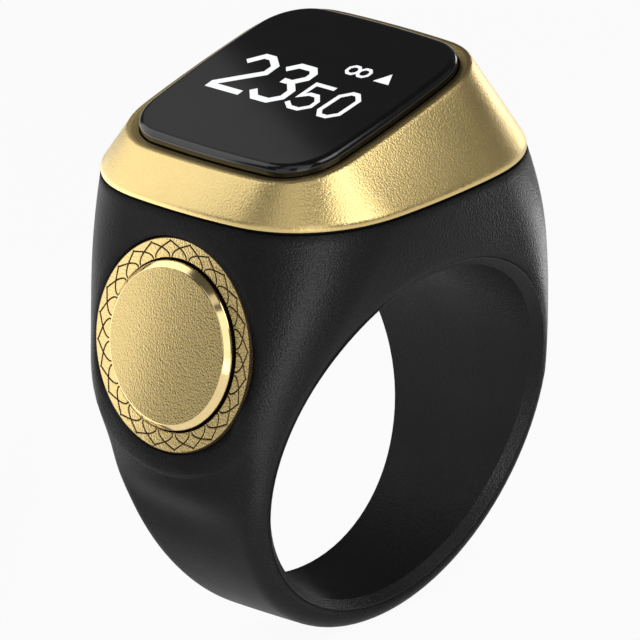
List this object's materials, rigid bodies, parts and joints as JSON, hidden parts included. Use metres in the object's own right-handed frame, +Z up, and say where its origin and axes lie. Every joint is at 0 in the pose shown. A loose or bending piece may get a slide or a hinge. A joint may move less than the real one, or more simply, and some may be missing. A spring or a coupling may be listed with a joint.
{
  "type": "digital tasbih counter",
  "caption": "Finger-ring tasbih counter: black band, gold wedge bezel round a tilted glass display, and a round gold count button on the side.",
  "frame": {"origin": "centre of the finger bore, midway along the finger", "axes": "+Y along the finger bore, +Z up through the display head, the count button faces -X"},
  "size_m": [0.0247, 0.0208, 0.0325],
  "materials": {
    "body_black": "fine matte grain",
    "liner_black": "fine satin grain",
    "gold_satin": "bead-blasted and anodised pale gold",
    "gold_engraved": "bead-blasted pale gold with darkened engraving",
    "gold_cap": "bead-blasted pale gold with a polished bevel",
    "lens_black": "black-backed gloss",
    "rubber_black": "matte",
    "glue_clear": "clear, cured",
    "panel_dark": "dark glass-like gloss",
    "flex_amber": "amber film",
    "board_green": "solder mask",
    "chip_black": "moulded",
    "ceramic_white": "fired ceramic look",
    "steel": "plain",
    "foil_silver": "foil pouch",
    "tape_white": "matte",
    "contact_gold": "plated",
    "inner_plastic": "moulded",
    "rotor_metal": "dense sintered metal"
  },
  "bodies": {
    "ring": {"body_shell": "body_black", "bore_liner": "liner_black", "bezel": "gold_satin", "bezel_gasket": "rubber_black", "display_lens": "lens_black", "lens_adhesive": "glue_clear", "optical_film": "glue_clear", "display_panel": "panel_dark", "display_flex": "flex_amber", "main_board": "board_green", "board_screws": "steel", "processor": "chip_black", "antenna": "ceramic_white", "board_chips": "chip_black", "battery_cell": "foil_silver", "battery_tape": "tape_white", "battery_tabs": "steel", "charge_contacts": "contact_gold", "charge_flex": "flex_amber", "button_trim": "gold_engraved", "button_seal": "rubber_black", "switch_housing": "inner_plastic", "snap_disc": "steel", "switch_flex": "flex_amber", "motor_case": "steel", "motor_base": "steel", "motor_shaft": "steel", "motor_flex": "flex_amber"},
    "button": {"button_cap": "gold_cap", "button_carrier": "inner_plastic", "switch_actuator": "inner_plastic"},
    "rotor": {"motor_rotor": "rotor_metal"}
  },
  "joints": [
    {"name": "button_press", "type": "slide", "parent": "ring", "child": "button", "axis": [0.9753, 0, -0.2207], "range_m": [0, 0.0003], "stiffness_N_per_m": 5000},
    {"name": "motor_spin", "type": "hinge", "parent": "ring", "child": "rotor", "pos_m": [0.00936, 0, 0.0106], "axis": [0.9917, 0, 0.1288], "continuous": true}
  ]
}
